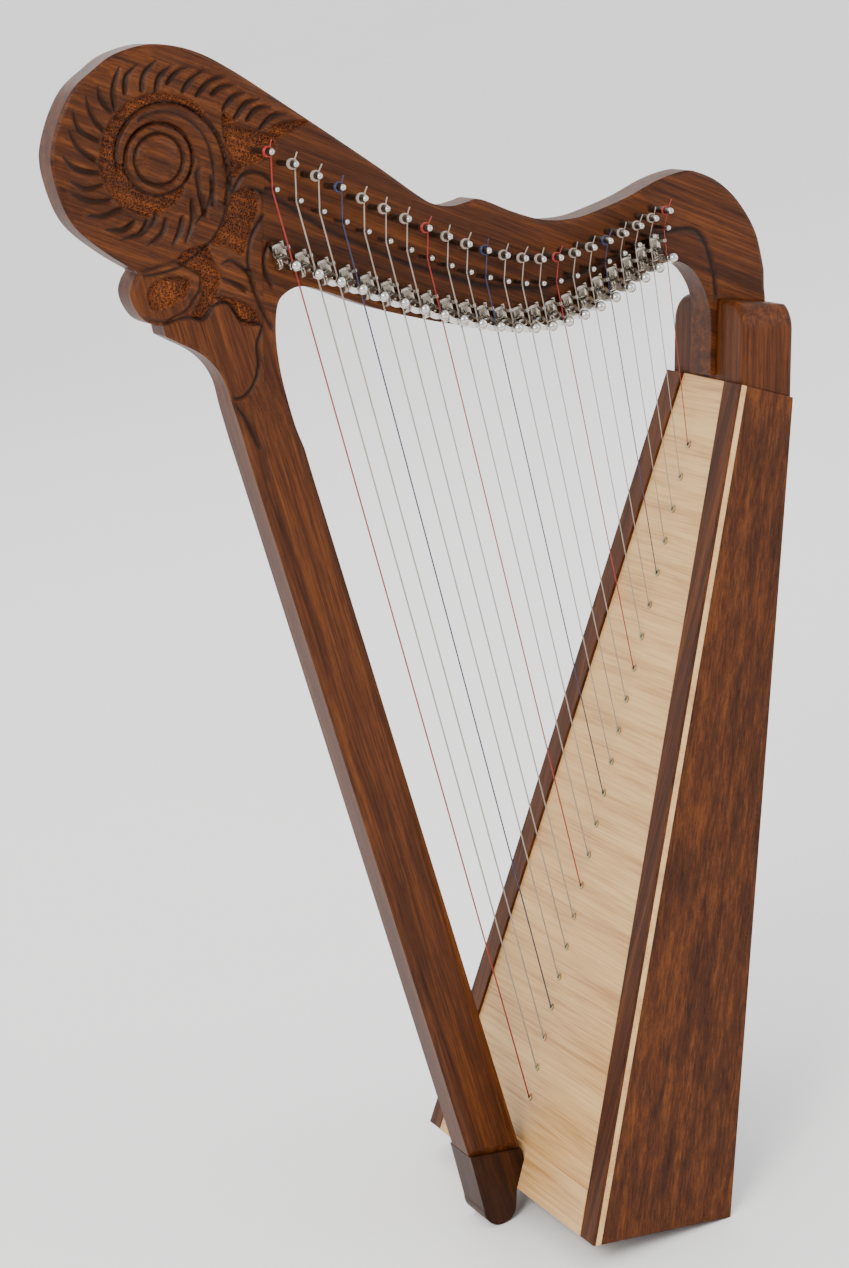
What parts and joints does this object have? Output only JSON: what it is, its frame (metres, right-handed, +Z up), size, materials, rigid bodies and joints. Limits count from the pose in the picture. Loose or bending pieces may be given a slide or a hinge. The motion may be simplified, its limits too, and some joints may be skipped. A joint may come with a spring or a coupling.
{
  "type": "concert harp",
  "caption": "Small free-standing lever harp: carved scroll neck, slanting pillar, tapered soundbox, turning tuning pins and flipping sharping levers.",
  "frame": {"origin": "centre of the bounding box at floor level", "axes": "+Z up, +X towards the player and the soundbox's back, -Y the side the strings are on"},
  "size_m": [0.5815, 0.302, 1.0084],
  "materials": {
    "dark_wood": "satin oiled, dark red-brown, fine straight grain",
    "foot_wood": "satin, near black brown",
    "spruce": "satin pale soundboard, grain across",
    "inner_wood": "raw",
    "eyelet_brass": "polished",
    "chrome_steel": "polished tips",
    "pin_steel": "dull steel with bright tips",
    "lever_nickel": "polished nickel casting",
    "lever_plate": "polished nickel plate",
    "red_nylon": "dyed nylon",
    "blue_nylon": "dyed nylon",
    "clear_nylon": "natural nylon"
  },
  "bodies": {
    "frame": {"neck": "dark_wood", "pillar": "dark_wood", "pillar_foot": "foot_wood", "soundboard": "spruce", "edge_rails": "dark_wood", "side_panels": "dark_wood", "back_panel": "dark_wood", "base_board": "dark_wood", "inner_frame": "inner_wood", "shoulder_block": "dark_wood", "eyelets": "eyelet_brass", "bridge_pins": "chrome_steel", "strings_red": "red_nylon", "strings_blue": "blue_nylon", "strings_natural": "clear_nylon", "lever_bases": "lever_plate"},
    "tuning_pin_01": {"tuning_pin_01": "pin_steel"},
    "tuning_pin_02": {"tuning_pin_02": "pin_steel"},
    "tuning_pin_03": {"tuning_pin_03": "pin_steel"},
    "tuning_pin_04": {"tuning_pin_04": "pin_steel"},
    "tuning_pin_05": {"tuning_pin_05": "pin_steel"},
    "tuning_pin_06": {"tuning_pin_06": "pin_steel"},
    "tuning_pin_07": {"tuning_pin_07": "pin_steel"},
    "tuning_pin_08": {"tuning_pin_08": "pin_steel"},
    "tuning_pin_09": {"tuning_pin_09": "pin_steel"},
    "tuning_pin_10": {"tuning_pin_10": "pin_steel"},
    "tuning_pin_11": {"tuning_pin_11": "pin_steel"},
    "tuning_pin_12": {"tuning_pin_12": "pin_steel"},
    "tuning_pin_13": {"tuning_pin_13": "pin_steel"},
    "tuning_pin_14": {"tuning_pin_14": "pin_steel"},
    "tuning_pin_15": {"tuning_pin_15": "pin_steel"},
    "tuning_pin_16": {"tuning_pin_16": "pin_steel"},
    "tuning_pin_17": {"tuning_pin_17": "pin_steel"},
    "tuning_pin_18": {"tuning_pin_18": "pin_steel"},
    "tuning_pin_19": {"tuning_pin_19": "pin_steel"},
    "tuning_pin_20": {"tuning_pin_20": "pin_steel"},
    "tuning_pin_21": {"tuning_pin_21": "pin_steel"},
    "tuning_pin_22": {"tuning_pin_22": "pin_steel"},
    "lever_01": {"lever_01": "lever_nickel"},
    "lever_02": {"lever_02": "lever_nickel"},
    "lever_03": {"lever_03": "lever_nickel"},
    "lever_04": {"lever_04": "lever_nickel"},
    "lever_05": {"lever_05": "lever_nickel"},
    "lever_06": {"lever_06": "lever_nickel"},
    "lever_07": {"lever_07": "lever_nickel"},
    "lever_08": {"lever_08": "lever_nickel"},
    "lever_09": {"lever_09": "lever_nickel"},
    "lever_10": {"lever_10": "lever_nickel"},
    "lever_11": {"lever_11": "lever_nickel"},
    "lever_12": {"lever_12": "lever_nickel"},
    "lever_13": {"lever_13": "lever_nickel"},
    "lever_14": {"lever_14": "lever_nickel"},
    "lever_15": {"lever_15": "lever_nickel"},
    "lever_16": {"lever_16": "lever_nickel"},
    "lever_17": {"lever_17": "lever_nickel"},
    "lever_18": {"lever_18": "lever_nickel"},
    "lever_19": {"lever_19": "lever_nickel"},
    "lever_20": {"lever_20": "lever_nickel"},
    "lever_21": {"lever_21": "lever_nickel"},
    "lever_22": {"lever_22": "lever_nickel"}
  },
  "joints": [
    {"name": "tuning_01", "type": "hinge", "parent": "frame", "child": "tuning_pin_01", "pos_m": [-0.13181, -0.0152, 0.91576], "axis": [0, 1, 0], "range_deg": [-360, 360]},
    {"name": "tuning_02", "type": "hinge", "parent": "frame", "child": "tuning_pin_02", "pos_m": [-0.11455, -0.0152, 0.90279], "axis": [0, 1, 0], "range_deg": [-360, 360]},
    {"name": "tuning_03", "type": "hinge", "parent": "frame", "child": "tuning_pin_03", "pos_m": [-0.09756, -0.0152, 0.89011], "axis": [0, 1, 0], "range_deg": [-360, 360]},
    {"name": "tuning_04", "type": "hinge", "parent": "frame", "child": "tuning_pin_04", "pos_m": [-0.08084, -0.0152, 0.87773], "axis": [0, 1, 0], "range_deg": [-360, 360]},
    {"name": "tuning_05", "type": "hinge", "parent": "frame", "child": "tuning_pin_05", "pos_m": [-0.06438, -0.0152, 0.86569], "axis": [0, 1, 0], "range_deg": [-360, 360]},
    {"name": "tuning_06", "type": "hinge", "parent": "frame", "child": "tuning_pin_06", "pos_m": [-0.04818, -0.0152, 0.85403], "axis": [0, 1, 0], "range_deg": [-360, 360]},
    {"name": "tuning_07", "type": "hinge", "parent": "frame", "child": "tuning_pin_07", "pos_m": [-0.03223, -0.0152, 0.84279], "axis": [0, 1, 0], "range_deg": [-360, 360]},
    {"name": "tuning_08", "type": "hinge", "parent": "frame", "child": "tuning_pin_08", "pos_m": [-0.01651, -0.0152, 0.83204], "axis": [0, 1, 0], "range_deg": [-360, 360]},
    {"name": "tuning_09", "type": "hinge", "parent": "frame", "child": "tuning_pin_09", "pos_m": [-0.001, -0.0152, 0.82188], "axis": [0, 1, 0], "range_deg": [-360, 360]},
    {"name": "tuning_10", "type": "hinge", "parent": "frame", "child": "tuning_pin_10", "pos_m": [0.01433, -0.0152, 0.81247], "axis": [0, 1, 0], "range_deg": [-360, 360]},
    {"name": "tuning_11", "type": "hinge", "parent": "frame", "child": "tuning_pin_11", "pos_m": [0.02951, -0.0152, 0.804], "axis": [0, 1, 0], "range_deg": [-360, 360]},
    {"name": "tuning_12", "type": "hinge", "parent": "frame", "child": "tuning_pin_12", "pos_m": [0.04459, -0.0152, 0.79671], "axis": [0, 1, 0], "range_deg": [-360, 360]},
    {"name": "tuning_13", "type": "hinge", "parent": "frame", "child": "tuning_pin_13", "pos_m": [0.05963, -0.0152, 0.79085], "axis": [0, 1, 0], "range_deg": [-360, 360]},
    {"name": "tuning_14", "type": "hinge", "parent": "frame", "child": "tuning_pin_14", "pos_m": [0.07466, -0.0152, 0.7866], "axis": [0, 1, 0], "range_deg": [-360, 360]},
    {"name": "tuning_15", "type": "hinge", "parent": "frame", "child": "tuning_pin_15", "pos_m": [0.08977, -0.0152, 0.78445], "axis": [0, 1, 0], "range_deg": [-360, 360]},
    {"name": "tuning_16", "type": "hinge", "parent": "frame", "child": "tuning_pin_16", "pos_m": [0.10495, -0.0152, 0.78429], "axis": [0, 1, 0], "range_deg": [-360, 360]},
    {"name": "tuning_17", "type": "hinge", "parent": "frame", "child": "tuning_pin_17", "pos_m": [0.12006, -0.0152, 0.78546], "axis": [0, 1, 0], "range_deg": [-360, 360]},
    {"name": "tuning_18", "type": "hinge", "parent": "frame", "child": "tuning_pin_18", "pos_m": [0.135, -0.0152, 0.78744], "axis": [0, 1, 0], "range_deg": [-360, 360]},
    {"name": "tuning_19", "type": "hinge", "parent": "frame", "child": "tuning_pin_19", "pos_m": [0.14971, -0.0152, 0.7899], "axis": [0, 1, 0], "range_deg": [-360, 360]},
    {"name": "tuning_20", "type": "hinge", "parent": "frame", "child": "tuning_pin_20", "pos_m": [0.16414, -0.0152, 0.79263], "axis": [0, 1, 0], "range_deg": [-360, 360]},
    {"name": "tuning_21", "type": "hinge", "parent": "frame", "child": "tuning_pin_21", "pos_m": [0.17826, -0.0152, 0.79551], "axis": [0, 1, 0], "range_deg": [-360, 360]},
    {"name": "tuning_22", "type": "hinge", "parent": "frame", "child": "tuning_pin_22", "pos_m": [0.19207, -0.0152, 0.79846], "axis": [0, 1, 0], "range_deg": [-360, 360]},
    {"name": "lever_01_flip", "type": "hinge", "parent": "frame", "child": "lever_01", "pos_m": [-0.12531, -0.0222, 0.83161], "axis": [-0.9942, 0, -0.1079], "range_deg": [0, 55]},
    {"name": "lever_02_flip", "type": "hinge", "parent": "frame", "child": "lever_02", "pos_m": [-0.10845, -0.0222, 0.82136], "axis": [-0.9944, 0, -0.1056], "range_deg": [0, 55]},
    {"name": "lever_03_flip", "type": "hinge", "parent": "frame", "child": "lever_03", "pos_m": [-0.09184, -0.0222, 0.81138], "axis": [-0.9946, 0, -0.1033], "range_deg": [0, 55]},
    {"name": "lever_04_flip", "type": "hinge", "parent": "frame", "child": "lever_04", "pos_m": [-0.07549, -0.0222, 0.8017], "axis": [-0.9949, 0, -0.1013], "range_deg": [0, 55]},
    {"name": "lever_05_flip", "type": "hinge", "parent": "frame", "child": "lever_05", "pos_m": [-0.05938, -0.0222, 0.79233], "axis": [-0.9951, 0, -0.0994], "range_deg": [0, 55]},
    {"name": "lever_06_flip", "type": "hinge", "parent": "frame", "child": "lever_06", "pos_m": [-0.04351, -0.0222, 0.78332], "axis": [-0.9952, 0, -0.0976], "range_deg": [0, 55]},
    {"name": "lever_07_flip", "type": "hinge", "parent": "frame", "child": "lever_07", "pos_m": [-0.02787, -0.0222, 0.77471], "axis": [-0.9954, 0, -0.0961], "range_deg": [0, 55]},
    {"name": "lever_08_flip", "type": "hinge", "parent": "frame", "child": "lever_08", "pos_m": [-0.01244, -0.0222, 0.76657], "axis": [-0.9955, 0, -0.0947], "range_deg": [0, 55]},
    {"name": "lever_09_flip", "type": "hinge", "parent": "frame", "child": "lever_09", "pos_m": [0.00278, -0.0222, 0.75899], "axis": [-0.9956, 0, -0.0936], "range_deg": [0, 55]},
    {"name": "lever_10_flip", "type": "hinge", "parent": "frame", "child": "lever_10", "pos_m": [0.01784, -0.0222, 0.75212], "axis": [-0.9957, 0, -0.0925], "range_deg": [0, 55]},
    {"name": "lever_11_flip", "type": "hinge", "parent": "frame", "child": "lever_11", "pos_m": [0.03276, -0.0222, 0.74613], "axis": [-0.9958, 0, -0.0915], "range_deg": [0, 55]},
    {"name": "lever_12_flip", "type": "hinge", "parent": "frame", "child": "lever_12", "pos_m": [0.04759, -0.0222, 0.74127], "axis": [-0.9959, 0, -0.0904], "range_deg": [0, 55]},
    {"name": "lever_13_flip", "type": "hinge", "parent": "frame", "child": "lever_13", "pos_m": [0.06238, -0.0222, 0.73776], "axis": [-0.996, 0, -0.0889], "range_deg": [0, 55]},
    {"name": "lever_14_flip", "type": "hinge", "parent": "frame", "child": "lever_14", "pos_m": [0.07715, -0.0222, 0.73576], "axis": [-0.9962, 0, -0.0869], "range_deg": [0, 55]},
    {"name": "lever_15_flip", "type": "hinge", "parent": "frame", "child": "lever_15", "pos_m": [0.09199, -0.0222, 0.73576], "axis": [-0.9965, 0, -0.084], "range_deg": [0, 55]},
    {"name": "lever_16_flip", "type": "hinge", "parent": "frame", "child": "lever_16", "pos_m": [0.10689, -0.0222, 0.73764], "axis": [-0.9968, 0, -0.0799], "range_deg": [0, 55]},
    {"name": "lever_17_flip", "type": "hinge", "parent": "frame", "child": "lever_17", "pos_m": [0.12171, -0.0222, 0.74077], "axis": [-0.9972, 0, -0.0751], "range_deg": [0, 55]},
    {"name": "lever_18_flip", "type": "hinge", "parent": "frame", "child": "lever_18", "pos_m": [0.13637, -0.0222, 0.74468], "axis": [-0.9976, 0, -0.07], "range_deg": [0, 55]},
    {"name": "lever_19_flip", "type": "hinge", "parent": "frame", "child": "lever_19", "pos_m": [0.15082, -0.0222, 0.74905], "axis": [-0.9979, 0, -0.0649], "range_deg": [0, 55]},
    {"name": "lever_20_flip", "type": "hinge", "parent": "frame", "child": "lever_20", "pos_m": [0.165, -0.0222, 0.75367], "axis": [-0.9982, 0, -0.0601], "range_deg": [0, 55]},
    {"name": "lever_21_flip", "type": "hinge", "parent": "frame", "child": "lever_21", "pos_m": [0.17891, -0.0222, 0.75843], "axis": [-0.9984, 0, -0.0559], "range_deg": [0, 55]},
    {"name": "lever_22_flip", "type": "hinge", "parent": "frame", "child": "lever_22", "pos_m": [0.19253, -0.0222, 0.76326], "axis": [-0.9986, 0, -0.0525], "range_deg": [0, 55]}
  ]
}
